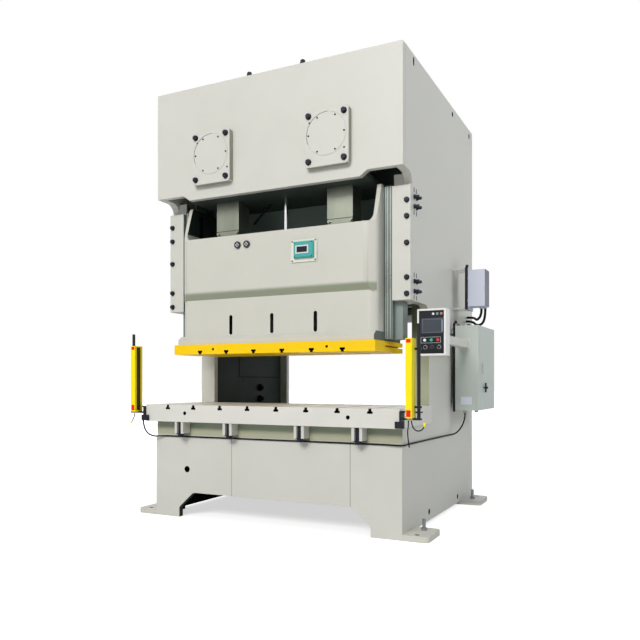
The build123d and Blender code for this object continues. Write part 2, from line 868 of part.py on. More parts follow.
# Motor, pulley and belt

belt_span = (flywheel_front + 40, flywheel_front + flywheel_width - 50)
belt_gap = 0.4
belt_thickness = 10
motor_span = (belt_span[0] - 450, belt_span[0] - 60)
motor_shaft = 24
pulley_span = (belt_span[0] - 5, belt_span[1] + 5)

with BuildPart() as motor:
    rod_y(motor_offset, motor_height, motor_radius, motor_span)
    shelf_top = shelf_height + wall
    foot_reach = 150
    foot_depth = 60
    for y in (
        (motor_span[0] + 50, motor_span[0] + 50 + foot_depth),
        (motor_span[1] - 50 - foot_depth, motor_span[1] - 50),
    ):
        block((motor_offset - foot_reach, motor_offset + foot_reach), y, (shelf_top, motor_height - 100))
    rod_y(motor_offset, motor_height, motor_shaft, (motor_span[1], pulley_span[1]))
    box_x = (motor_offset + motor_radius - 30, motor_offset + motor_radius + 50)
    block(box_x, (motor_span[0] + 100, motor_span[0] + 240), (motor_height - 60, motor_height + 60))
keep("motor", motor)

with BuildPart() as motor_pulley:
    rod_y(motor_offset, motor_height, pulley_radius, pulley_span)
    bore_y = (pulley_span[0] - 1, pulley_span[1] + 1)
    rod_y(motor_offset, motor_height, motor_shaft + shaft_fit, bore_y, mode=Mode.SUBTRACT)
keep("motor_pulley", motor_pulley)


def belt_loop(growth, mode=Mode.ADD):
    """A loop drawn tight round the flywheel and the pulley."""
    with BuildSketch(Plane.XZ.offset(-back(belt_span[1]))) as outline:
        with BuildLine():
            CenterArc((0, pinion_height), flywheel_radius + growth, 0, 360)
            CenterArc((motor_offset, motor_height), pulley_radius + growth, 0, 360)
        make_hull()
    extrude(outline.sketch, amount=belt_span[1] - belt_span[0], mode=mode)


with BuildPart() as drive_belt:
    belt_loop(belt_gap + belt_thickness)
    belt_loop(belt_gap, Mode.SUBTRACT)
keep("drive_belt", drive_belt)

# Electrical cabinet on the right side

cabinet_x = (half + 50, half + 287)
cabinet_behind = 940
cabinet_depth = 775
cabinet_y = (frame_depth - cabinet_behind, frame_depth - cabinet_behind + cabinet_depth)
cabinet_z = (1030, 1900)
sheet = 4
door_thickness = 25
hinge_radius = 8
hinge_y = cabinet_y[1] + 9
hinge_x = cabinet_x[1] - 17
hinge_zs = (cabinet_z[0] + 120, cabinet_z[1] - 200)
knuckle = 50
spacer = 14
latch_y = cabinet_y[0] + 250
latch_z = cabinet_z[0] + 232
gland = 34
low_glands = ((half + 130, cabinet_y[0] + 90), (half + 238, cabinet_y[0] + 130))
high_gland = (610, 135)
low_gland = (575, 90)
wall_glands = [(cabinet_y[0] + y, cabinet_z[1] + z) for y, z in (high_gland, low_gland)]
wall_gland = 20

with BuildPart() as cabinet_body:
    shell_x = (cabinet_x[0], cabinet_x[1] - door_thickness)
    block(shell_x, cabinet_y, cabinet_z)
    hollow_x = (shell_x[0] + sheet, shell_x[1] + 1)
    hollow_y = (cabinet_y[0] + sheet, cabinet_y[1] - sheet)
    hollow_z = (cabinet_z[0] + sheet, cabinet_z[1] - sheet)
    block(hollow_x, hollow_y, hollow_z, mode=Mode.SUBTRACT)
    for y in (cabinet_y[0] + 60, cabinet_y[1] - 60):
        for z in (cabinet_z[0] + 60, cabinet_z[1] - 60):
            block((half, cabinet_x[0] + 1), (y - spacer, y + spacer), (z - spacer, z + spacer))
    for z in hinge_zs:
        rod_z(hinge_x, hinge_y, hinge_radius, (z, z + knuckle))
        block((hinge_x - 12, hinge_x - 6), (cabinet_y[1] - 1, hinge_y), (z, z + knuckle))
    for x, y in low_glands:
        hex_up(x, y, cabinet_z[0] - 25, gland, 26)
    for y, z in wall_glands:
        hex_side(1, half, y, z, gland, wall_gland)
keep("cabinet_body", cabinet_body)

with BuildPart() as cabinet_door:
    door_x = (cabinet_x[1] - door_thickness + running_gap, cabinet_x[1])
    door_y = (cabinet_y[0], cabinet_y[1] - 2)
    block(door_x, door_y, cabinet_z)
    for z in hinge_zs:
        upper = (z + knuckle + 1, z + 2 * knuckle)
        rod_z(hinge_x, hinge_y, hinge_radius, upper)
        block((hinge_x - 4, hinge_x + hinge_radius), (door_y[1] - 1, hinge_y), upper)
    rod_x(latch_y, latch_z, 9 + shaft_fit, (door_x[0] - 1, door_x[1] + 1), mode=Mode.SUBTRACT)
keep("cabinet_door", cabinet_door)

with BuildPart() as cabinet_latch:
    rod_x(latch_y, latch_z, 9, (door_x[0] + 1, cabinet_x[1] + 14))
    block((cabinet_x[1] + 14, cabinet_x[1] + 30), (latch_y - 10, latch_y + 10), (latch_z - 50, latch_z + 50))
keep("cabinet_latch", cabinet_latch)

# Control box on its arm

control_x = (half + 8, half + 265)
control_y = (380, 510)
control_z = (1555, 1965)
arm_x = (control_x[0] + 98, control_x[0] + 178)
arm_z = (control_z[0] + 117, control_z[0] + 197)
arm_y = (control_y[1], cabinet_y[0] - 10)
frame_border = 16
face_depth = 4
screen_x = (control_x[0] + 52, control_x[1] - 27)
screen_z = (control_z[0] + 208, control_z[1] - 98)
button_z = control_z[0] + 135
button_offsets = (69, 129, 188)
button_radius = 13
selector_z = control_z[0] + 73
selector_offsets = (73, 135, 197)
selector_radius = 15
lamp_z = control_z[1] - 47
lamp_offsets = (146, 182, 218)
lamp_radius = 10
control_face = control_y[0] + face_depth
button_xs = [control_x[0] + offset for offset in button_offsets]
selector_xs = [control_x[0] + offset for offset in selector_offsets]
lamp_xs = [control_x[0] + offset for offset in lamp_offsets]

with BuildPart() as control_arm:
    block(arm_x, arm_y, arm_z)
    block((arm_x[0] - 20, arm_x[1] + 20), (arm_y[1], cabinet_y[0]), (arm_z[0] - 20, arm_z[1] + 20))
keep("control_arm", control_arm)

with BuildPart() as control_box:
    block(control_x, control_y, control_z)
    face_x = (control_x[0] + frame_border, control_x[1] - frame_border)
    face_z = (control_z[0] + frame_border, control_z[1] - frame_border)
    block(face_x, (control_y[0] - 1, control_face), face_z, mode=Mode.SUBTRACT)
    block(screen_x, (control_face - 1, control_face + 3), screen_z, mode=Mode.SUBTRACT)
    for x in button_xs:
        rod_y(x, button_z, button_radius + running_gap, (control_face - 1, control_face + 25), mode=Mode.SUBTRACT)
    for x in selector_xs:
        rod_y(x, selector_z, 6 + running_gap, (control_face - 1, control_face + 20), mode=Mode.SUBTRACT)
keep("control_box", control_box)

with BuildPart() as control_lamps:
    for x in lamp_xs:
        rod_y(x, lamp_z, lamp_radius, (control_face - 8, control_face))
keep("control_lamps", control_lamps)

button_names = ("white_button", "green_button", "red_button")
for name, x in zip(button_names, button_xs):
    with BuildPart() as button:
        rod_y(x, button_z, button_radius, (control_face - 10, control_face + 14))
    keep(name, button)

selector_names = ("left_selector", "middle_selector", "right_selector")
for name, x in zip(selector_names, selector_xs):
    with BuildPart() as selector:
        knob = (control_face - running_gap - 8, control_face - running_gap)
        rod_y(x, selector_z, selector_radius, knob)
        block((x - 4, x + 4), (knob[0] - 8, knob[0] + 1), (selector_z - 13, selector_z + 13))
        rod_y(x, selector_z, 6, (knob[1] - 1, control_face + 18))
    keep(name, selector)

# Junction box above the cabinet

junction_x = (half + 160, half + 335)
junction_y = (frame_depth - 838, frame_depth - 650)
junction_z = (2103, 2479)
panel_x = (junction_x[0] - 13, junction_x[0])
panel_y = (junction_y[0] - 12, junction_y[1] + 30)
panel_z = (junction_z[0] - 33, junction_z[1] + 31)
junction_hinge_x = junction_x[0] - 6
junction_hinge_y = panel_y[0] - 7
junction_hinge_zs = (junction_z[0] + 47, junction_z[1] - 99)
junction_glands = ((junction_x[0] + 112, junction_y[0] + 110), (junction_x[0] + 147, junction_y[0] + 130))
standoff = 10
small_knuckle = 30

with BuildPart() as junction_box:
    block(panel_x, panel_y, panel_z)
    block(junction_x, junction_y, junction_z)
    hollow_x = (junction_x[0] + sheet, junction_x[1] - sheet)
    hollow_z = (junction_z[0] + sheet, junction_z[1] - sheet)
    block(hollow_x, (junction_y[0] - 1, junction_y[1] - sheet), hollow_z, mode=Mode.SUBTRACT)
    for y in (panel_y[0] + 25, panel_y[1] - 25):
        for z in (panel_z[0] + 16, panel_z[1] - 16):
            block((half, panel_x[0] + 1), (y - standoff, y + standoff), (z - standoff, z + standoff))
    for x, y in junction_glands:
        hex_up(x, y, junction_z[0] - 18, gland, 19)
    for z in junction_hinge_zs:
        upper = (z + small_knuckle + 1, z + 2 * small_knuckle + 1)
        rod_z(junction_hinge_x, junction_hinge_y, 6, upper)
        block((junction_hinge_x - 4, junction_hinge_x + 4), (junction_hinge_y, panel_y[0] + 1), upper)
keep("junction_box", junction_box)

with BuildPart() as junction_door:
    door_y = (panel_y[0] - 1, junction_y[0] - running_gap)
    block((junction_x[0] + 1, junction_x[1]), door_y, junction_z)
    lock_z = (junction_z[0] + junction_z[1]) / 2
    rod_y(junction_x[1] - 17, lock_z, 10, (door_y[0] - 8, door_y[0] + 1))
    for z in junction_hinge_zs:
        rod_z(junction_hinge_x, junction_hinge_y, 6, (z, z + small_knuckle))
        lug_y = (junction_hinge_y - 3, panel_y[0] - 0.5)
        block((junction_hinge_x, junction_x[0] + 6), lug_y, (z, z + small_knuckle))
keep("junction_door", junction_door)

# Light curtain posts with their brackets on the ends of the bolster

post_x = (bolster_end + 72, bolster_end + 125)
post_y = (-202, -92)
post_z = (bolster_top - 70, bolster_top + 573)
mast_x = bolster_end + 158
mast_y = -120
mast_radius = 14
mast_top = post_z[1] + 120
arm_drop = 16

with BuildPart() as curtain_posts:
    for side in (-1, 1):
        block(sorted((side * post_x[0], side * post_x[1])), post_y, post_z)
keep("curtain_posts", curtain_posts)

with BuildPart() as curtain_mounts:
    end = bolster_end
    arm_top = post_z[0] + 53
    for side in (-1, 1):
        across = lambda a, b: sorted((side * a, side * b))
        plate_low = bed_height + 6
        block(across(end - 38, end + 38), (-bolster_overhang - 27, -bolster_overhang), (plate_low, plate_low + 55))
        block(across(end, end + 16), (-bolster_overhang - 27, -60), (plate_low, arm_top + 1))
        block(across(end + 10, mast_x + 20), (mast_y - 20, mast_y + 20), (post_z[0] - arm_drop, post_z[0]))
        block(across(end + 10, mast_x + 20), (mast_y + 30, mast_y + 42), (arm_top - 12, arm_top))
        block(across(mast_x - 20, mast_x + 20), (mast_y - 20, mast_y + 42), (arm_top - 12, arm_top))
        rod_z(side * mast_x, mast_y, mast_radius, (post_z[0] - arm_drop, mast_top))
        for z in (post_z[0] + 89, post_z[1] - 84):
            block(across(post_x[1], mast_x + 22), (mast_y - 10, mast_y + 10), (z - 9, z + 9))
keep("curtain_mounts", curtain_mounts)


# Cables and hoses


def corner_radii(points):
    """The largest arcs that the runs beside each corner allow."""
    radii = []
    for before, corner, after in zip(points, points[1:], points[2:]):
        into = Vector(*corner) - Vector(*before)
        out = Vector(*after) - Vector(*corner)
        half_turn = math.radians(into.get_angle(out)) / 2
        radii.append(0.45 * min(into.length, out.length) / math.tan(half_turn))
    return radii


def cord(points, radius):
    """A round cord along straight runs joined by tangent arcs."""
    placed = [(x, back(y), z) for x, y, z in points]
    radii = corner_radii(placed)
    with BuildLine() as route:
        FilletPolyline(*placed, radius=radii)
    start = Plane(origin=placed[0], z_dir=Vector(*placed[1]) - Vector(*placed[0]))
    with BuildSketch(start) as section:
        Circle(radius)
    sweep(sections=section.sketch, path=route.wire())
    return radii, route.wire().length * math.pi * radius**2


under_post = post_z[0]
cable_height = bed_step_height
cord_sets = {
    "front_cable": (
        7.5,
        [
            [
                (-bolster_end - 24, -135, bed_height + 6),
                (-bolster_end - 24, -135, cable_height + 63),
                (-half + 20, -55, cable_height + 3),
                (-half + 100, -9, cable_height + 5),
                (half - 135, -9, cable_height + 9),
                (half + 26, -34, cable_height + 8),
                (half + 9, 128, cable_height + 7),
                (half + 9, cabinet_y[0] - 100, cable_height - 6),
                (half + 60, cabinet_y[0] + 40, cable_height + 3),
                (low_glands[0][0], low_glands[0][1], cabinet_z[0] - 115),
                (low_glands[0][0], low_glands[0][1], cabinet_z[0] - 25),
            ]
        ],
    ),
    "curtain_leads": (
        5,
        [
            [
                (bolster_end + 84, -160, under_post),
                (bolster_end + 84, -160, under_post - 60),
                (bolster_end + 72, -158, under_post - 130),
                (bolster_end + 90, -154, under_post - 237),
            ],
            [
                (bolster_end + 108, -160, under_post),
                (bolster_end + 108, -160, under_post - 55),
                (bolster_end + 150, -160, under_post - 107),
                (bolster_end + 208, -146, under_post - 89),
                (bolster_end + 212, -140, under_post - 40),
            ],
            [
                (-bolster_end - 108, -160, under_post),
                (-bolster_end - 108, -160, under_post - 55),
                (-bolster_end - 146, -170, under_post - 107),
            ],
        ],
    ),
    "box_hoses": (
        13,
        [
            [
                (junction_glands[0][0], junction_glands[0][1], junction_z[0] - 18),
                (junction_glands[0][0], junction_glands[0][1], junction_z[0] - 88),
                (half + 190, cabinet_y[0] + 350, cabinet_z[1] + 75),
                (half + 105, wall_glands[0][0], wall_glands[0][1]),
                (half + wall_gland, wall_glands[0][0], wall_glands[0][1]),
            ],
            [
                (junction_glands[1][0], junction_glands[1][1], junction_z[0] - 18),
                (junction_glands[1][0], junction_glands[1][1], junction_z[0] - 88),
                (half + 272, cabinet_y[0] + 285, cabinet_z[1] + 35),
                (half + 165, cabinet_y[0] + 475, cabinet_z[1] + 30),
                (half + 90, wall_glands[1][0], wall_glands[1][1]),
                (half + wall_gland, wall_glands[1][0], wall_glands[1][1]),
            ],
        ],
    ),
}

for name, (radius, routes) in cord_sets.items():
    with BuildPart() as cable:
        expected = 0
        for points in routes:
            radii, volume = cord(points, radius)
            expected += volume
            print(name, "radii", [round(r) for r in radii])
        print(name, "volume over section by length", round(cable.part.volume / expected, 3))
    keep(name, cable)

os.makedirs("parts", exist_ok=True)
for name, piece in pieces.items():
    export_step(piece, f"parts/{name}.step")
print(len(pieces), "pieces")
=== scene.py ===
import math

import bmesh
import bpy
from mathutils import Matrix, Vector
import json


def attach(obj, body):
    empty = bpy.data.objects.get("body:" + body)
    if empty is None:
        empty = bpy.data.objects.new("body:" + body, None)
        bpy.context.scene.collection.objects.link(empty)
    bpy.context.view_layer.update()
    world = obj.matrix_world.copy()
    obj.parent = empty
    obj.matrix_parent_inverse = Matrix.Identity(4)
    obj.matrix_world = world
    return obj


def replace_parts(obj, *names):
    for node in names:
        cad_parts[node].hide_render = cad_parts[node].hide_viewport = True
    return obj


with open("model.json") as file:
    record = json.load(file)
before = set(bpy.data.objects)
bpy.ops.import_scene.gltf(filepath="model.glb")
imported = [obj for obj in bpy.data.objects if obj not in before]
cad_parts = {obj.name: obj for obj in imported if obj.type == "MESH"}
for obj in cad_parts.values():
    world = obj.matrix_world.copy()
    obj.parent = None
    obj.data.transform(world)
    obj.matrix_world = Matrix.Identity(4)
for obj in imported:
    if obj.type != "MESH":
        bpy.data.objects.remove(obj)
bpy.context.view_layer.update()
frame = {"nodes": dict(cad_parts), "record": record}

# Where the bed's front face stands in the frame, in metres
BED_FRONT = -1.125


def at(x, d, z):
    """A place from millimetres: x, the distance behind the bed's front face, and the height."""
    return Vector((x / 1000, BED_FRONT + d / 1000, z / 1000))


# Camera, level, with the horizon below the middle of the picture; the first three lengths are in pixels
PICTURE = 640
FOCAL_LENGTH = 678.3
HORIZON_DROP = 61
FILM = 36
EYE = (3.1564, -6.4962, 1.3315)
HEADING = 0.4548

camera_data = bpy.data.cameras.new("camera")
camera = bpy.data.objects.new("camera", camera_data)
bpy.context.scene.collection.objects.link(camera)
camera.location = EYE
camera.rotation_euler = (math.pi / 2, 0, HEADING)
camera_data.sensor_width = FILM
camera_data.lens = FILM * FOCAL_LENGTH / PICTURE
camera_data.shift_y = HORIZON_DROP / PICTURE
camera_data.clip_start = 0.05
camera_data.clip_end = 200
bpy.context.scene.camera = camera

# Cords: radius, the CAD node that each stands for, what its far end meets, and the CAD's own points
CABLE, LEAD, HOSE = 7.5, 5, 13
cord_routes = {
    "cord_front_cable": (
        CABLE,
        "front_cable",
        "object",
        [
            (-1340, -135, 945), (-1336, -132, 855), (-1290, -70, 784), (-1190, -9, 790), (-1080, -9, 790),
            (1000, -9, 796), (1155, -9, 796), (1316, -34, 795), (1299, 128, 794), (1299, 290, 792),
            (1299, 1260, 783), (1299, 1410, 781), (1350, 1550, 790), (1420, 1600, 915), (1420, 1600, 1005),
        ],
    ),
    "cord_right_lead": (
        LEAD,
        "curtain_leads",
        "bare",
        [(1400, -160, 1032), (1400, -160, 972), (1388, -158, 902), (1406, -154, 795)],
    ),
    "cord_right_loop": (
        LEAD,
        "curtain_leads",
        "connector",
        [(1424, -160, 1032), (1424, -160, 977), (1466, -160, 925), (1524, -146, 943), (1528, -140, 992)],
    ),
    "cord_left_lead": (
        LEAD,
        "curtain_leads",
        "connector",
        [(-1424, -160, 1032), (-1424, -160, 977), (-1462, -170, 925)],
    ),
    "cord_hose_front": (
        HOSE,
        "box_hoses",
        "object",
        [(1562, 1722, 2085), (1562, 1722, 2015), (1480, 1860, 1975), (1395, 2120, 2035), (1310, 2120, 2035)],
    ),
    "cord_hose_rear": (
        HOSE,
        "box_hoses",
        "object",
        [
            (1597, 1742, 2085), (1597, 1742, 2015), (1562, 1795, 1935), (1455, 1985, 1930),
            (1380, 2085, 1990), (1310, 2085, 1990),
        ],
    ),
}

# Faces and places of the press that more than one piece needs, in millimetres
SIDES = (("left", -1), ("right", 1))
SIDE_OUT = 1290
SIDE_IN = 1215
POST_LINE = -160
COVER_X = 608
COVER_FACE = -40
DISC_FACE = -41.5
DISC_HEIGHT = 3490
DISC_RADIUS = 190
STUDS_X = (-246, 320)
STUD_LINE = 75
FLUTE_HEIGHTS = (1701, 3041)
SLOT_PITCH = 300
SLOT_NECK = 14.5
SLOT_HEAD = 25.5
FAR = 9000
ANY = (-FAR, FAR)


def about(middle, half):
    """Limits at the same distance on both sides of a middle."""
    return middle - half, middle + half


def mirrored(side, near, far):
    """The limits, low one first, of what lies between two distances to one side of the press."""
    return sorted((side * near, side * far))


def give(node, name, source):
    """Links a node's input to another node's output, or sets it to a number, vector or colour."""
    if isinstance(source, bpy.types.NodeSocket):
        node.id_data.links.new(source, node.inputs[name])
    else:
        node.inputs[name].default_value = source


def add(tree, kind, inputs=None, **settings):
    """A new node with its settings made and then its inputs given."""
    node = tree.nodes.new("ShaderNode" + kind)
    for name, setting in settings.items():
        setattr(node, name, setting)
    for name, source in (inputs or {}).items():
        give(node, name, source)
    return node


def noise(tree, place, scale, detail, rough=0.5):
    """Cloudy values around 0.5."""
    inputs = {"Vector": place, "Scale": scale, "Detail": detail, "Roughness": rough}
    return add(tree, "TexNoise", inputs).outputs["Fac"]


def ramp(tree, source, before, after, **settings):
    """Maps a value from one pair of limits to another."""
    (start, end), (low, high) = before, after
    inputs = {"Value": source, "From Min": start, "From Max": end, "To Min": low, "To Max": high}
    return add(tree, "MapRange", inputs, **settings).outputs["Result"]


def compute(tree, operation, *values):
    """The result of a sum on numbers or other nodes' outputs."""
    return add(tree, "Math", dict(enumerate(values)), operation=operation).outputs["Value"]


def blend(tree, factor, low, high, kind="FLOAT"):
    """From low to high as factor goes from 0 to 1."""
    return add(tree, "Mix", {"Factor": factor, "A": low, "B": high}, data_type=kind).outputs["Result"]


def inside(tree, axes, box, fade):
    """1 in a box and 0 outside it, running out over fade at its top, or at its foot if fade is negative."""
    low, high = at(*[pair[0] for pair in box]), at(*[pair[1] for pair in box])
    share = None
    for axis in range(3):
        middle, half = (low[axis] + high[axis]) / 2, (high[axis] - low[axis]) / 2
        near = compute(tree, "COMPARE", axes[axis], middle, half)
        share = compute(tree, "MULTIPLY", share, near) if share else near
    if fade:
        full = high[2] - fade / 1000 if fade > 0 else low[2]
        none = high[2] if fade > 0 else low[2] - fade / 1000
        ends = (1.0, 0.0) if fade > 0 else (0.0, 1.0)
        soft = ramp(tree, axes[2], (full, none), ends, interpolation_type="SMOOTHSTEP")
        share = compute(tree, "MULTIPLY", share, soft)
    return share


def surface(name, colour, rough=0.45, metal=0.0, grain=0.02, scale=3.0, bump=0.05, fine=900.0,
            dirt=0.0, coat=0.0, stretch=(1, 1, 1), specular=0.5, patches=()):
    """A procedural surface whose colour, roughness and relief all vary a little from place to place."""
    mat = bpy.data.materials.new(name)
    mat.use_nodes = True
    tree = mat.node_tree
    shader = tree.nodes["Principled BSDF"]
    where = add(tree, "TexCoord").outputs["Object"]
    spread = add(tree, "Mapping", {"Vector": where, "Scale": stretch}).outputs["Vector"]
    cloud = noise(tree, spread, scale, 6.0, 0.6)
    shade = ramp(tree, cloud, (0.3, 0.7), (1 - grain, 1 + grain))
    base = add(tree, "VectorMath", {0: colour, "Scale": shade}, operation="SCALE").outputs["Vector"]
    if dirt:
        amount = ramp(tree, noise(tree, spread, scale * 4, 8.0, 0.7), (0.52, 0.75), (0.0, dirt))
        worn = (colour[0] * 0.55, colour[1] * 0.53, colour[2] * 0.48, 1)
        base = blend(tree, amount, base, worn, "RGBA")
    sheen = metal
    if patches:
        axes = add(tree, "SeparateXYZ", {"Vector": where}).outputs
    for *box, patch_colour, patch_metal, fade in patches:
        share = inside(tree, axes, box, fade)
        base = blend(tree, share, base, (*patch_colour, 1), "RGBA")
        if patch_metal:
            sheen = blend(tree, share, sheen, patch_metal)
    matt = (max(rough - 0.06, 0.02), min(rough + 0.06, 1.0))
    relief = {"Strength": bump, "Distance": 0.001, "Height": noise(tree, spread, fine, 2.0)}
    give(shader, "Base Color", base)
    give(shader, "Metallic", sheen)
    give(shader, "Roughness", ramp(tree, cloud, (0.3, 0.7), matt))
    give(shader, "Normal", add(tree, "Bump", relief).outputs["Normal"])
    give(shader, "Coat Weight", coat)
    give(shader, "Coat Roughness", 0.15)
    give(shader, "Specular IOR Level", specular)
    return mat


# Painted shade: near black for the insides of holes, T-slots and the slide's hollow
HOLLOW_SHADE = (0.003, 0.003, 0.003)
RED = (0.80, 0.012, 0.008)
STEEL = (0.20, 0.235, 0.22)
# Painted shade for the inside of the crown
CROWN_SHADE = (0.17, 0.23, 0.20)
# Painted shade, near black green, inside the bed, the arch and the gap between the uprights, in the slide's
# hollow and on its left ear's inner face
INSIDE_SHADE = (0.014, 0.024, 0.019)
SHADE = (0.30, 0.32, 0.25)
WINDOW = (0.05, 0.028, 0.008)
# Painted shade, olive, for the band on the slide's front that faces down
BAND_SHADE = (0.27, 0.30, 0.215)
PAINT = (0.60, 0.595, 0.545)


def patch(x, d, z, colour, metal=0, fade=0):
    """A box, in millimetres, in which a surface has another colour, with the fade that inside() takes."""
    return x, d, z, colour, metal, fade


def post_marks():
    """Red bands at the top and foot of each guard post, and the dark window along it."""
    marks = []
    for _, side in SIDES:
        front, inner = mirrored(side, 1394, 1432), mirrored(side, 1386, 1389)
        marks += [patch(front, (-204, -200), z, RED) for z in ((1637, 1667), (1044, 1098))]
        marks.append(patch(inner, (-176, -122), (1046, 1662), WINDOW))
    return marks


def bolster_slot_shade():
    """Painted shade inside the bolster's T-slots and the two holes in its front."""
    front = -117
    marks = []
    for x in range(-1050, 1051, SLOT_PITCH):
        marks.append(patch(about(x, SLOT_NECK), (front, FAR), (1077, 1099), HOLLOW_SHADE))
        marks.append(patch(about(x, SLOT_HEAD), (front, FAR), (1056, 1078), HOLLOW_SHADE))
    return marks + [patch(about(x, 19), (front, 0), (1004, 1042), HOLLOW_SHADE) for x in (-850, 850)]


def die_plate_slot_shade():
    """Painted shade inside the yellow plate's T-slots and its two dowel holes."""
    slots_x = range(-750, 751, SLOT_PITCH)
    marks = [patch(about(x, SLOT_HEAD), (-10, 689), (1589, 1626), HOLLOW_SHADE) for x in slots_x]
    return marks + [patch(about(x, 13), (-11, 29), (1622, 1648), HOLLOW_SHADE) for x in (-600, 600)]


def frame_shade_and_light():
    """Painted shade inside the frame and in its holes, the painted shades that the photograph shows on its
    faces, and painted light inside the crown.
    """
    side_wall = (1210, 1288)
    low_holes, high_holes = (80, 130), (4080, 4144)
    crown, between, bed, arch = (2035, 4184), (940, 2034), (0, 938), (0, 248)
    guide_gap, inner, arch_half = 1123, 1216, 1009
    cover_side = (-36, 19)
    upright_x, upright_face = (1122, 1289.4), (755, 764)
    lit_x, lit_z, lit = (700, guide_gap), (2950, 3500), (0.50, 0.58, 0.53)
    return [
        # Painted shade in the frame's holes
        patch((-945, -881), (3, 61), (440, 504), HOLLOW_SHADE),
        patch(side_wall, (740, 790), low_holes, HOLLOW_SHADE),
        patch(side_wall, (1770, 1820), low_holes, HOLLOW_SHADE),
        patch(side_wall, (290, 328), (4080, 4164), HOLLOW_SHADE),
        patch(side_wall, (1560, 1624), high_holes, HOLLOW_SHADE),
        patch(side_wall, (2270, 2336), high_holes, HOLLOW_SHADE),
        # Painted shade inside the crown, between the uprights, inside the bed and under the arch
        patch((-guide_gap, guide_gap), (81, 2391), crown, CROWN_SHADE),
        patch((-inner, inner), (565, 2391), crown, CROWN_SHADE),
        patch((-inner, inner), (823, 2388), between, INSIDE_SHADE),
        patch((-inner, inner), (61, 2340), bed, INSIDE_SHADE),
        patch((-arch_half, arch_half), (7, 60), arch, INSIDE_SHADE),
        # Painted shadow of the bolster's overhang on the bed's front, fading out at its foot
        patch((-1289, 1289), (-2, 30), (790, 941), (0.42, 0.42, 0.30), fade=-30),
        patch((-1289, 1289), (-2, 30), (850, 941), (0.25, 0.29, 0.20), fade=-40),
        patch((816, 823), cover_side, ANY, SHADE),
        patch((-400, -393), cover_side, ANY, SHADE),
        patch((-823, 823), cover_side, (3208, 3216), SHADE),
        # Painted olive shade on the right upright's front face, darker towards its top
        patch(upright_x, upright_face, (1100, 2040), (0.36, 0.38, 0.27)),
        patch(upright_x, upright_face, (1640, 2040), (0.16, 0.19, 0.12), fade=-200),
        # Painted light inside the crown, towards its right
        patch(lit_x, (100, 217), lit_z, lit),
        patch(lit_x, (271, 700), lit_z, lit),
    ]


def slide_shade_and_steel():
    """Painted shade in the slide's hollow inside, on its left ear's inner face and as the olive band that
    faces down, and its bare steel guide blocks.
    """
    return [
        # Painted shade in the slide's hollow and on its left ear's inner face
        patch((-971, 971), (119, 631), (2500, 2710), INSIDE_SHADE),
        patch((-940, 940), (70, 688), (1768, 2560), HOLLOW_SHADE),
        patch((-993, -990.5), ANY, (2790, 3070), INSIDE_SHADE),
        # Painted shade on the band that faces down, fading out at its top
        patch((-1030.5, 1030.5), (26, 110), (2119, 2203), BAND_SHADE, fade=34),
        patch((1031, 1300), ANY, ANY, STEEL, 0.7),
        patch((-1300, -1031), ANY, ANY, STEEL, 0.7),
    ]


def junction_marks():
    """The junction box's dark right side, the arms that carry it and the black panel behind it."""
    return [
        patch((1624, 1626), (1590, 1900), (2000, 2600), (0.07, 0.085, 0.12)),
        patch((1280, 1436.9), ANY, ANY, PAINT),
        patch((1436.9, 1449.9), ANY, ANY, (0.02, 0.024, 0.035)),
    ]


def foot_shade():
    """Painted shade inside the anchor holes, and a greyer painted shade on the foot at the right rear."""
    holes = [patch(about(x, 23), about(d, 23), (1, 48), HOLLOW_SHADE) for x in (-1402, 1402) for d in (60, 2190)]
    # Painted shade on the rear of the right foot
    return holes + [patch((1291, 1600), (1700, 2300), (20, 60), (0.47, 0.47, 0.45))]


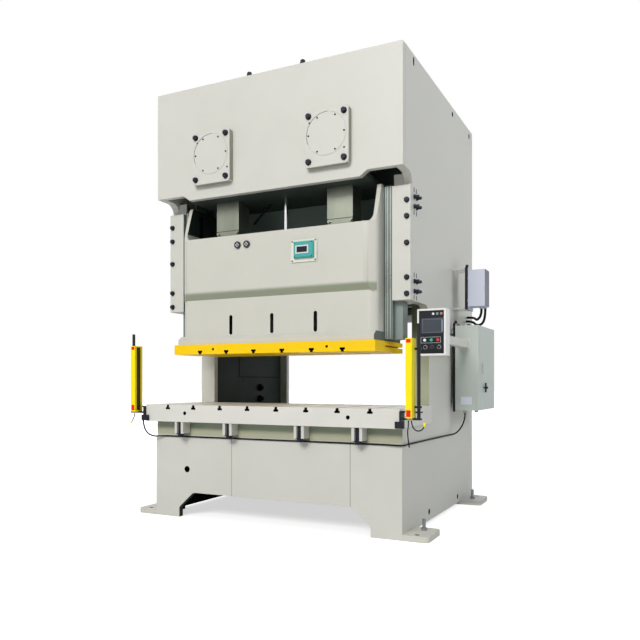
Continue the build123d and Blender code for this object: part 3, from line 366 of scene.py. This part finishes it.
# Looks of the CAD's nodes, by material slot
looks = {
    "frame_paint": surface("frame_paint", PAINT, rough=0.42, dirt=0.03, fine=500, patches=frame_shade_and_light()),
    "slide_paint": surface("slide_paint", (0.585, 0.575, 0.515), rough=0.40, dirt=0.02, fine=500,
                           patches=slide_shade_and_steel()),
    "plate_yellow": surface("plate_yellow", (0.93, 0.60, 0.001), rough=0.42, grain=0.03, dirt=0.03, fine=500,
                            specular=0.25, patches=die_plate_slot_shade()),
    "bolster_steel": surface("bolster_steel", (0.68, 0.67, 0.62), rough=0.42, grain=0.03, dirt=0.05, fine=500,
                             patches=bolster_slot_shade()),
    "ground_steel": surface("ground_steel", (0.27, 0.29, 0.235), rough=0.34, metal=0.85, grain=0.12, scale=5,
                            fine=60, bump=0.12, stretch=(1, 1, 0.15)),
    "dark_steel": surface("dark_steel", (0.13, 0.135, 0.14), rough=0.4, metal=0.8, grain=0.15, fine=300),
    "bolt_black": surface("bolt_black", (0.004, 0.007, 0.020), rough=0.38, grain=0.2, fine=700, specular=0.3),
    "bronze": surface("bronze", (0.45, 0.31, 0.13), rough=0.35, metal=0.9, grain=0.1, fine=300),
    "cast_gear": surface("cast_gear", (0.10, 0.105, 0.11), rough=0.5, metal=0.6, grain=0.15, fine=250,
                         bump=0.2),
    "motor_paint": surface("motor_paint", (0.05, 0.09, 0.12), grain=0.05, dirt=0.1),
    "belt_rubber": surface("belt_rubber", (0.018, 0.018, 0.018), rough=0.75, grain=0.2, fine=400, bump=0.2),
    "cabinet_paint": surface("cabinet_paint", (0.52, 0.57, 0.53), rough=0.5, fine=1200, bump=0.15),
    "junction_paint": surface("junction_paint", (0.58, 0.61, 0.72), rough=0.42, fine=1200, bump=0.1,
                              patches=junction_marks()),
    "control_paint": surface("control_paint", (0.80, 0.79, 0.77), rough=0.38),
    "chrome_rod": surface("chrome_rod", (0.75, 0.76, 0.78), rough=0.12, metal=1.0, grain=0.03, fine=300,
                          bump=0.01),
    "counter_teal": surface("counter_teal", (0.035, 0.36, 0.34), rough=0.3, grain=0.04, coat=0.3),
    "plug_black": surface("plug_black", (0.012, 0.012, 0.014), rough=0.3, grain=0.1),
    "curtain_yellow": surface("curtain_yellow", (0.98, 0.80, 0.003), rough=0.42, grain=0.03, dirt=0.02,
                              specular=0.25, patches=post_marks()),
    "bracket_black": surface("bracket_black", (0.006, 0.008, 0.014), grain=0.1, specular=0.3),
    "cable_black": surface("cable_black", (0.004, 0.004, 0.005), rough=0.6, grain=0.15, fine=600,
                           specular=0.2),
    "lamp_glass": surface("lamp_glass", (0.85, 0.85, 0.85), rough=0.2),
    "button_white": surface("button_white", (0.85, 0.85, 0.86), rough=0.28, grain=0.03),
    "button_green": surface("button_green", (0.03, 0.46, 0.28), rough=0.28, grain=0.04),
    "button_red": surface("button_red", (0.75, 0.03, 0.03), rough=0.28, grain=0.04),
    "selector_black": surface("selector_black", (0.02, 0.02, 0.022), rough=0.3, grain=0.1),
    "foot_paint": surface("foot_paint", (0.60, 0.58, 0.52), rough=0.5, grain=0.04, dirt=0.12,
                          patches=foot_shade()),
}
navy = looks["bolt_black"]

# Looks of the pieces that are made here
face_black = surface("face_black", (0.005, 0.006, 0.010), rough=0.38, grain=0.15, specular=0.25)
screen_glass = surface("screen_glass", (0.022, 0.034, 0.045), rough=0.15, grain=0.15, coat=0.3, bump=0.0)
screen_rim = surface("screen_rim", (0.06, 0.07, 0.10), rough=0.3, grain=0.05)
screen_edge = surface("screen_edge", (0.20, 0.24, 0.31), rough=0.3, grain=0.1)
screw_steel = surface("screw_steel", (0.33, 0.34, 0.36), rough=0.3, metal=0.9, grain=0.15, fine=200)
thin_white = surface("thin_white", (0.62, 0.63, 0.66), rough=0.4, grain=0.03)
label_white = surface("label_white", (0.72, 0.75, 0.86), rough=0.35)
cream = surface("cream", (0.72, 0.70, 0.60), rough=0.4)
# Slate blue grey: the colour of some real parts, and painted shade for the covers' disc shadows and the
# cabinet's door slot
slate = surface("slate", (0.07, 0.085, 0.12), grain=0.06)
lamp_green = surface("lamp_green", (0.01, 0.32, 0.20), rough=0.2, grain=0.04)
lamp_red = surface("lamp_red", (0.80, 0.03, 0.03), rough=0.2, grain=0.04)
# Near black for knobs, edges and marks, and as painted shade in holes and slots
hole_dark = surface("hole_dark", (0.002, 0.002, 0.003), rough=0.8, grain=0.2, specular=0.1)
faint_line = surface("faint_line", (0.42, 0.43, 0.38), rough=0.5, grain=0.05)
# Painted shade and painted highlight for the flutes on the slide's guide blocks
flute_shade = surface("flute_shade", (0.085, 0.10, 0.09), rough=0.35, metal=0.5, grain=0.1)
flute_highlight = surface("flute_highlight", (0.46, 0.50, 0.46), rough=0.3, metal=0.4, grain=0.08)
# Painted shade, dark green, for the uprights' inner walls and their panels
upright_shade_green = surface("upright_shade_green", (0.022, 0.036, 0.029), rough=0.6, grain=0.06, specular=0.2)
# Painted shade for the crown's bottom plate, with a little dirt
crown_inside_shade = surface("crown_inside_shade", (0.050, 0.064, 0.057), rough=0.6, grain=0.06, dirt=0.1, specular=0.2)


def tag(obj, mat, body):
    """Gives a made piece its look and the body that it moves with."""
    obj.data.materials.clear()
    obj.data.materials.append(mat)
    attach(obj, body)
    return obj


def show(name, data):
    """A new object in the scene."""
    obj = bpy.data.objects.new(name, data)
    bpy.context.scene.collection.objects.link(obj)
    return obj


def soften(obj, width):
    """Small round edges, with the flat faces left flat."""
    if "custom_normal" in obj.data.attributes:
        obj.data.attributes.remove(obj.data.attributes["custom_normal"])
    for polygon in obj.data.polygons:
        polygon.use_smooth = True
    weld = obj.modifiers.new("weld", "WELD")
    weld.merge_threshold = 0.00002
    flat = obj.modifiers.new("flat", "DECIMATE")
    flat.decimate_type = "DISSOLVE"
    flat.angle_limit = math.radians(1)
    edge = obj.modifiers.new("edge", "BEVEL")
    edge.width = width
    edge.segments = 2
    edge.limit_method = "ANGLE"
    edge.angle_limit = math.radians(40)
    edge.use_clamp_overlap = True
    even = obj.modifiers.new("even", "WEIGHTED_NORMAL")
    even.weight = 100
    even.keep_sharp = False


def slab(name, x, d, z, mat, body, bevel=0.0):
    """A block between pairs of limits in millimetres."""
    low, high = at(x[0], d[0], z[0]), at(x[1], d[1], z[1])
    mesh = bpy.data.meshes.new(name)
    corners = [(low[0] if i & 1 else high[0], low[1] if i & 2 else high[1], low[2] if i & 4 else high[2])
               for i in range(8)]
    faces = [(0, 1, 3, 2), (4, 6, 7, 5), (0, 4, 5, 1), (2, 3, 7, 6), (0, 2, 6, 4), (1, 5, 7, 3)]
    mesh.from_pydata(corners, [], faces)
    mesh.validate()
    obj = show(name, mesh)
    if bevel:
        edge = obj.modifiers.new("edge", "BEVEL")
        edge.width = bevel / 1000
        edge.segments = 2
    return tag(obj, mat, body)


def bar(name, start, end, radius, mat, body, sides=24, tip=None):
    """A round bar, or a cone frustum where tip is given, between two places in millimetres."""
    a, b = at(*start), at(*end)
    bpy.ops.mesh.primitive_cone_add(vertices=sides, radius1=radius / 1000,
                                    radius2=(radius if tip is None else tip) / 1000, depth=(b - a).length)
    obj = bpy.context.object
    obj.name = name
    obj.data.name = name
    obj.rotation_mode = "QUATERNION"
    obj.rotation_quaternion = (b - a).to_track_quat("Z", "Y")
    obj.location = (a + b) / 2
    bpy.context.view_layer.update()
    obj.data.transform(obj.matrix_world)
    obj.matrix_world.identity()
    obj.location = (0, 0, 0)
    obj.rotation_quaternion = (1, 0, 0, 0)
    for polygon in obj.data.polygons:
        polygon.use_smooth = len(polygon.vertices) == 4
    bpy.context.view_layer.update()
    return tag(obj, mat, body)


def bolt_heads(name, places, toward, across, height, washer=1.3):
    """Hexagon heads with a chamfered top, each on its round washer, as one black mesh on the frame."""
    seat, chamfer = 0.18 * height, 0.84 * height
    way = Vector(toward)
    turn = way.to_track_quat("Z", "Y").to_matrix().to_4x4()
    corner = across / math.sqrt(3)
    stages = (
        (24, across * washer / 2, across * washer / 2, 0, seat),
        (6, corner, corner, seat, chamfer),
        (6, corner, 0.84 * corner, chamfer, height),
    )
    heads = bmesh.new()
    for place in places:
        for sides, foot, top, start, end in stages:
            middle = Matrix.Translation(at(*place) + way * (start + end) / 2000)
            bmesh.ops.create_cone(heads, cap_ends=True, segments=sides, radius1=foot / 1000,
                                  radius2=top / 1000, depth=(end - start) / 1000, matrix=middle @ turn)
    mesh = bpy.data.meshes.new(name)
    heads.to_mesh(mesh)
    heads.free()
    return tag(show(name, mesh), navy, "frame")


def round_curve(name, points, radius, steps, ring):
    """A smooth round curve along points in millimetres."""
    data = bpy.data.curves.new(name, "CURVE")
    data.dimensions = "3D"
    spline = data.splines.new("NURBS")
    spline.points.add(len(points) - 1)
    for point, place in zip(spline.points, points):
        point.co = (*at(*place), 1)
    spline.order_u = 3
    spline.use_endpoint_u = True
    data.resolution_u = steps
    data.bevel_depth = radius / 1000
    data.bevel_resolution = ring
    data.use_fill_caps = True
    return show(name, data)


def bent_pipe(name, points, radius, mat, body):
    """A rigid pipe along points in millimetres, as a mesh."""
    curve = round_curve(name, points, radius, 8, 3)
    bpy.context.view_layer.update()
    mesh = bpy.data.meshes.new_from_object(curve.evaluated_get(bpy.context.evaluated_depsgraph_get()))
    bpy.data.objects.remove(curve)
    for polygon in mesh.polygons:
        polygon.use_smooth = True
    return tag(show(name, mesh), mat, body)


# Every CAD node takes the look of its slot
slots = {row["node"]: row["material_slot"] for row in frame["record"]["subparts"]}
for node, obj in frame["nodes"].items():
    obj.data.materials.clear()
    obj.data.materials.append(looks[slots[node]])

# The crown's bottom plate takes the painted shade of the crown's inside
frame["nodes"]["crown_bottom_plate"].data.materials[0] = crown_inside_shade
frame["nodes"]["levelling_screws"].data.materials[0] = screw_steel

# How round the edges of the larger nodes are, in metres
softened = {
    0.008: ("crown_front_plate",),
    0.006: ("left_side_frame", "right_side_frame", "bed_front_plate", "bed_box", "slide_body"),
    0.004: ("bolster_plate", "bearing_covers", "gib_plates", "control_arm", "cabinet_door"),
    0.003: ("slide_plate", "cabinet_body", "foot_plates", "plungers", "stroke_counter", "curtain_posts"),
    0.002: ("junction_door", "bearing_caps"),
}
for width, nodes in softened.items():
    for node in nodes:
        soften(frame["nodes"][node], width)


def cords():
    """The cords as curves, two of them with a yellow connector at the end."""
    connectors = (
        ("cord_right_loop", "loop_connector", (1526, -142, 962), (1528, -140, 1000)),
        ("cord_left_lead", "left_connector", (-1455, -168, 935), (-1469, -172, 915)),
    )
    ends = {
        cord_name: bar(name, start, end, 8, looks["curtain_yellow"], "frame", 12)
        for cord_name, name, start, end in connectors
    }
    for name, (radius, node, far_end, points) in cord_routes.items():
        cord = round_curve(name, points, radius, 16, 4)
        tag(cord, looks["cable_black"], "frame")
        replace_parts(cord, node)
        bpy.context.view_layer.update()


def cover_fixings():
    """Bolts at the corners of the two bearing covers, and screws round and beside their discs."""
    cover_height, reach_x, reach_z = 3461, 171, 201
    screw_ring = 172
    corners = [
        (side * COVER_X + dx, COVER_FACE, cover_height + dz)
        for side in (-1, 1)
        for dx in (-reach_x, reach_x)
        for dz in (-reach_z, reach_z)
    ]
    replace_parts(bolt_heads("cover_corner_bolts", corners, (0, -1, 0), 42, 28), "cover_bolts")
    turns = [math.radians(60 * n) for n in range(6)]
    screws = [
        (side * COVER_X + screw_ring * math.cos(turn), DISC_FACE, DISC_HEIGHT + screw_ring * math.sin(turn))
        for side in (-1, 1)
        for turn in turns
    ]
    beside = [(445.7, 3602.9), (779.9, 3344.4), (-760.8, 3609.1), (-421.1, 3342.4)]
    screws += [(x, COVER_FACE, z) for x, z in beside]
    bolt_heads("cap_screws", screws, (0, -1, 0), 13, 6)


def guide_fixings():
    """Bolts on the front of the guide plates, and adjusting screws and their marks on the frame's sides."""
    gib_x, gib_face, gib_foot = 1257, 218, 2034
    rises = (54, 195, 494, 724, 864)
    places = [(side * gib_x, gib_face, gib_foot + rise) for side in (-1, 1) for rise in rises]
    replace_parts(bolt_heads("gib_front_bolts", places, (0, -1, 0), 38, 26), "gib_bolts")
    screw_lines, screw_rows = (322, 389), (2944, 2859, 2205, 2117)
    mark_lines, mark_rows = (318, 383), (3003, 2805, 2260, 2062)
    nut_height, screw_height = 13, 34
    for name, side in SIDES:
        screws = [(side * SIDE_OUT, d, z) for d in screw_lines for z in screw_rows]
        bolt_heads(f"{name}_adjuster_nuts", screws, (side, 0, 0), 34, 14)
        tops = [(x + side * nut_height, d, z) for x, d, z in screws]
        bolt_heads(f"{name}_adjusters", tops, (side, 0, 0), 25, screw_height, 1.1)
        face = mirrored(side, SIDE_OUT - 0.5, SIDE_OUT + 0.7)
        for n, (d, z) in enumerate([(d, z) for d in mark_lines for z in mark_rows]):
            slab(f"{name}_guide_mark_{n}", face, about(d, 8), about(z, 20), hole_dark, "frame")


def lifting_studs():
    """Two studs on top of the crown."""
    head_foot = 4207
    heads = bolt_heads("stud_heads", [(x, STUD_LINE, head_foot) for x in STUDS_X], (0, 0, 1), 40, 30)
    for n, x in enumerate(STUDS_X):
        foot, top = (x, STUD_LINE, 4183), (x, STUD_LINE, head_foot + 1)
        bar(f"stud_stem_{n}", foot, top, 10, navy, "frame", 12)
    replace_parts(heads, "lifting_studs")


def disc_ring(name, x, tube, mat, arc=None):
    """A thin ring round a cover's disc, or only the part of it between two angles in degrees."""
    bpy.ops.mesh.primitive_torus_add(major_radius=DISC_RADIUS / 1000, minor_radius=tube / 1000,
                                     major_segments=96, minor_segments=6)
    ring = bpy.context.object
    ring.name = name
    ring.data.name = name
    if arc:
        start, end = [math.radians(angle) for angle in arc]
        shape = bmesh.new()
        shape.from_mesh(ring.data)
        shape.verts.ensure_lookup_table()
        outside = [v for v in shape.verts if not start < math.atan2(v.co.y, v.co.x) % math.tau < end]
        bmesh.ops.delete(shape, geom=outside, context="VERTS")
        bmesh.ops.holes_fill(shape, edges=shape.edges, sides=12)
        shape.to_mesh(ring.data)
        shape.free()
    upright = Matrix.Rotation(math.pi / 2, 4, "X")
    ring.data.transform(Matrix.Translation(at(x, DISC_FACE, DISC_HEIGHT)) @ upright)
    return tag(ring, mat, "frame")


def cover_discs():
    """The round discs of the bearing covers, each with a faint rim and a shadow along its upper left."""
    for n, x in enumerate((-COVER_X, COVER_X)):
        back, face = (x, COVER_FACE + 1, DISC_HEIGHT), (x, DISC_FACE, DISC_HEIGHT)
        disc = bar(f"cap_disc_{n}", back, face, DISC_RADIUS, looks["frame_paint"], "frame", 96)
        if n == 0:
            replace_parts(disc, "bearing_caps")
        disc_ring(f"cap_rim_{n}", x, 1.2, faint_line)
        disc_ring(f"cap_shadow_{n}", x, 2.4, slate, (85, 205))


def post_glands():
    """Two glands under each guard post's bracket, where the leads leave."""
    for name, side in SIDES:
        for n, reach in enumerate((1400, 1424)):
            top, foot = (side * reach, POST_LINE, 1033), (side * reach, POST_LINE, 1014)
            bar(f"{name}_gland_{n}", top, foot, 9, thin_white, "frame", 12)


def counter():
    """The stroke counter's light base, clear window, dark display and two sets of screws."""
    slab("counter_base", (221, 482), (31, 33), (2400, 2604), cream, "slide", 1)
    slab("counter_bezel", (284, 415), (-3.2, -2), (2471, 2546), thin_white, "slide")
    slab("counter_display", (298, 401), (-4, -3.1), (2483, 2534), face_black, "slide")
    base_corners = [(x, z) for x in (235, 468) for z in (2415, 2590)]
    lid_corners = [(x, z) for x in (272, 445) for z in (2446, 2571)]
    for n, (x, z) in enumerate(base_corners):
        bar(f"counter_screw_{n}", (x, 31.5, z), (x, 26, z), 6, navy, "slide", 12)
    for n, (x, z) in enumerate(lid_corners):
        bar(f"counter_lid_screw_{n}", (x, 2.5, z), (x, -1, z), 5, navy, "slide", 12)


def plug_marks():
    """Four white marks in a ring on each of the slide's plugs."""
    height, ring = 2614, 13
    for n, x in enumerate((-352, -251)):
        for m in range(4):
            turn = math.radians(90 * m)
            mark_x, mark_z = x + ring * math.cos(turn), height + ring * math.sin(turn)
            back, face = (mark_x, 24.5, mark_z), (mark_x, 22.6, mark_z)
            bar(f"plug_mark_{n}_{m}", back, face, 6.5, thin_white, "slide", 12)


def control_box():
    """The control box's black face, screen, outlined row of buttons, lamps and the selectors' rings."""
    screen_z = (1764, 1866)
    slab("control_face", (1314.5, 1538.5), (382.4, 384.4), (1571.5, 1948.5), face_black, "frame")
    slab("control_screen_rim", (1338, 1532), (381, 382.4), (1750, 1880), screen_rim, "frame")
    slab("control_screen", (1352, 1516), (380.4, 381.2), screen_z, screen_glass, "frame")
    slab("control_screen_light", (1516, 1529), (380.6, 381.2), screen_z, screen_edge, "frame")
    line = 2.4
    raised = (381.4, 382.6)
    left, right, low, high = 1331, 1508, 1664, 1714
    for n, x in enumerate((left, right)):
        slab(f"outline_upright_{n}", (x, x + line), raised, (low, high + 2), thin_white, "frame")
    for n, z in enumerate((low, high)):
        slab(f"outline_level_{n}", (left, right + line), raised, (z, z + line), thin_white, "frame")
    lamp_z, ring_z = 1918, 1628
    lamps = ((1444, looks["lamp_glass"], "lamp_glass"), (1480, lamp_green, None), (1516, lamp_red, None))
    for n, (x, mat, finish) in enumerate(lamps):
        bar(f"lamp_lens_{n}", (x, 383, lamp_z), (x, 374.5, lamp_z), 10.6, mat, "frame", 20, 8.5)
    rings = ((1371, thin_white), (1433, slate), (1495, thin_white))
    for n, (x, mat) in enumerate(rings):
        bar(f"selector_ring_{n}", (x, 382.6, ring_z), (x, 381.6, ring_z), 18, mat, "frame", 24)


def cabinet():
    """The cabinet's blank plate, ears on its top, a strip of painted shade in the gap behind it, its door
    slot as painted shade and the latch's boss.
    """
    front, top = 1510, 1900
    slab("cabinet_plate", (1398, 1512), (front - 1.4, front), (1091, 1170), label_white, "frame")
    for n, x in enumerate((1372, 1478)):
        slab(f"cabinet_ear_{n}", about(x, 16), (front + 2, front + 20), (top, top + 16), slate, "frame", 2)
    # Painted shade: a black strip in the gap behind the cabinet's left edge
    slab("cabinet_gap_shade", (1316, 1339.5), (front + 2, front + 14), (1016, 1926), face_black, "frame", 2)
    bar("cabinet_ear_bolt", (1344, front + 2, 1936), (1344, front - 14, 1936), 17, navy, "frame", 20, 12)
    # Painted shade: the cabinet door's slot as a thin dark strip
    slab("cabinet_slot", (1591.8, 1592.8), (1646, 1662), (1404, 1516), slate, "cabinet_door_body")
    bar("latch_boss", (1605, 1760, 1262), (1621, 1760, 1262), 13, navy, "cabinet_latch_body", 20, 11)


def junction_box():
    """The strip along the junction box's panel, and the clip with its bolt on top of it."""
    top = 2508
    slab("junction_seal", (1420, 1436.5), (1592, 1612), (2072, top), face_black, "frame", 2)
    slab("junction_clip", (1426, 1456), (1588, 1602), (top, top + 24), face_black, "frame", 3)
    bar("junction_clip_bolt", (1438, 1588, top + 13), (1438, 1578, top + 13), 10, navy, "frame", 16)


def uprights():
    """What shows through the gap on the uprights' inner faces: knobs, and panels with their edges, the panels
    and a sheet over each inner wall in the dark green of painted shade.
    """
    knob_line = 1862
    for n, z in enumerate((1252, 1114)):
        foot, neck, end = [(x, knob_line, z) for x in (-SIDE_IN, -1180, -1160)]
        bar(f"upright_knob_{n}", foot, neck, 44, hole_dark, "frame", 20, 36)
        bar(f"upright_knob_tip_{n}", neck, end, 20, hole_dark, "frame", 12)
    for name, side in SIDES:
        wall = mirrored(side, SIDE_IN + 0.4, SIDE_IN - 0.6)
        sheet = mirrored(side, SIDE_IN - 0.4, SIDE_IN - 2)
        edge = mirrored(side, SIDE_IN - 1.6, SIDE_IN - 2.4)
        # Painted shade: a dark green sheet over each upright's inner wall
        slab(f"{name}_upright_wall", wall, (766, 2388), (942, 2030), upright_shade_green, "frame")
        slab(f"{name}_upright_panel", sheet, (1399, 2354), (1383, 1900), upright_shade_green, "frame")
        slab(f"{name}_upright_panel_edge", edge, (1394, 1402), (1380, 1900), hole_dark, "frame")
        slab(f"{name}_upright_panel_foot", edge, (1402, 2354), (1376, 1384), hole_dark, "frame")


def small_holes():
    """Two holes low on the right side, and one in the left upright's panel, as dark discs of painted shade.
    """
    for n, (d, z) in enumerate(((765, 112), (1795, 96))):
        bar(f"side_hole_{n}", (SIDE_OUT - 2, d, z), (SIDE_OUT + 0.5, d, z), 27, hole_dark, "frame", 24)
    hole_d, hole_z = 1476, 1333
    bar("upright_hole", (-SIDE_IN - 0.5, hole_d, hole_z), (-SIDE_IN + 1, hole_d, hole_z), 9, hole_dark,
        "frame", 16)


def crown_pipe():
    """A lubrication pipe that comes down from the crown."""
    line = 500
    route = ((-190, 3165), (-204, 3153), (-317, 3050), (-420, 2954), (-455, 2920), (-462, 2908))
    bent_pipe("lubrication_pipe", [(x, line, z) for x, z in route], 11, looks["cable_black"], "frame")


def guide_blocks():
    """Flutes down the slide's guide blocks as stripes of painted shade and painted highlight, and the wipers
    over them.
    """
    dark = ((1044, 5), (1062, 3), (1083, 6), (1103, 4))
    for name, side in SIDES:
        for n, (x, half) in enumerate(dark):
            edge = mirrored(side, *about(x, half))
            slab(f"{name}_flute_{n}", edge, (249.3, 250.2), FLUTE_HEIGHTS, flute_shade, "slide")
        for n, x in enumerate((1053, 1072, 1094)):
            edge = mirrored(side, *about(x, 3))
            slab(f"{name}_flute_highlight_{n}", edge, (249.1, 250.2), FLUTE_HEIGHTS, flute_highlight, "slide")
        wiper_x, wiper_z = mirrored(side, 1000, 1117), (3042.5, 3056)
        slab(f"{name}_wiper", wiper_x, (252, 300), wiper_z, face_black, "slide", 2)


def ear_slot():
    """A slot on the inner face of the slide's left ear, as a dark strip of painted shade."""
    slab("ear_slot", (-992.4, -990.6), (309, 372), (2785, 3010), hole_dark, "slide")


cords()
cover_fixings()
guide_fixings()
lifting_studs()
cover_discs()
post_glands()
counter()
plug_marks()
control_box()
cabinet()
junction_box()
uprights()
small_holes()
crown_pipe()
guide_blocks()
ear_slot()


def room():
    """White to the eye and in reflections, and as light a sky that is brighter overhead and in front."""
    world = bpy.data.worlds.new("room")
    bpy.context.scene.world = world
    world.use_nodes = True
    tree = world.node_tree
    tree.nodes.clear()
    path = add(tree, "LightPath").outputs
    ways = add(tree, "SeparateXYZ", {"Vector": add(tree, "TexCoord").outputs["Generated"]}).outputs
    overhead = ramp(tree, ways["Z"], (0.0, 0.8), (0.18, 1.0))
    ahead = ramp(tree, ways["Y"], (-0.6, 0.5), (0.6, 0.12))
    strength = compute(tree, "MULTIPLY", overhead, ahead)
    seen = add(tree, "Background", {"Color": (1, 1, 1, 1), "Strength": 1.0})
    lit = add(tree, "Background", {"Color": (0.94, 0.97, 1.0, 1), "Strength": strength})
    direct = compute(tree, "MAXIMUM", path["Is Camera Ray"], path["Is Glossy Ray"])
    sight = compute(tree, "MAXIMUM", direct, path["Is Transmission Ray"])
    both = {"Fac": sight, 1: lit.outputs["Background"], 2: seen.outputs["Background"]}
    add(tree, "OutputWorld", {"Surface": add(tree, "MixShader", both).outputs["Shader"]})


def lamp(name, place, target, size, power, colour):
    """A soft rectangular lamp that faces its target."""
    data = bpy.data.lights.new(name, "AREA")
    data.shape = "RECTANGLE"
    data.size, data.size_y = size
    data.energy = power
    data.color = colour
    obj = show(name, data)
    obj.location = place
    obj.rotation_mode = "QUATERNION"
    obj.rotation_quaternion = (Vector(target) - Vector(place)).to_track_quat("-Z", "Y")
    return obj


def pale_floor():
    """A white floor that takes the press's shadow and goes to plain white further off."""
    bpy.ops.mesh.primitive_plane_add(size=160, location=(0, 0, -0.001))
    floor = bpy.context.object
    floor.name = "floor"
    white = bpy.data.materials.new("floor_white")
    white.use_nodes = True
    tree = white.node_tree
    tree.nodes.clear()
    place = add(tree, "TexCoord").outputs["Object"]
    reach = add(tree, "VectorMath", {0: place}, operation="LENGTH").outputs["Value"]
    glow = ramp(tree, reach, (1.8, 5.5), (0.62, 1.0))
    seen = compute(tree, "MULTIPLY", glow, add(tree, "LightPath").outputs["Is Camera Ray"])
    plain = add(tree, "BsdfDiffuse", {"Color": (0.78, 0.78, 0.78, 1)}).outputs["BSDF"]
    shine = add(tree, "Emission", {"Strength": seen}).outputs["Emission"]
    both = add(tree, "AddShader", {0: plain, 1: shine}).outputs["Shader"]
    add(tree, "OutputMaterial", {"Surface": both})
    floor.data.materials.append(white)


# Light: a large key lamp high in front, a weak one on the right, and one behind for the back
room()
lamp("key", (0.5, -24, 15), (0, -0.5, 2.0), (12, 8), 4750, (1.0, 0.99, 0.97))
lamp("fill", (13, 1.5, 8.0), (0.5, 0, 2.0), (8, 6), 560, (0.93, 0.97, 1.0))
behind = lamp("back", (-9, 20, 9), (0, 1.3, 2.0), (10, 8), 2400, (0.97, 0.98, 1.0))
behind.visible_glossy = False
pale_floor()

bpy.context.scene.view_settings.view_transform = "Standard"
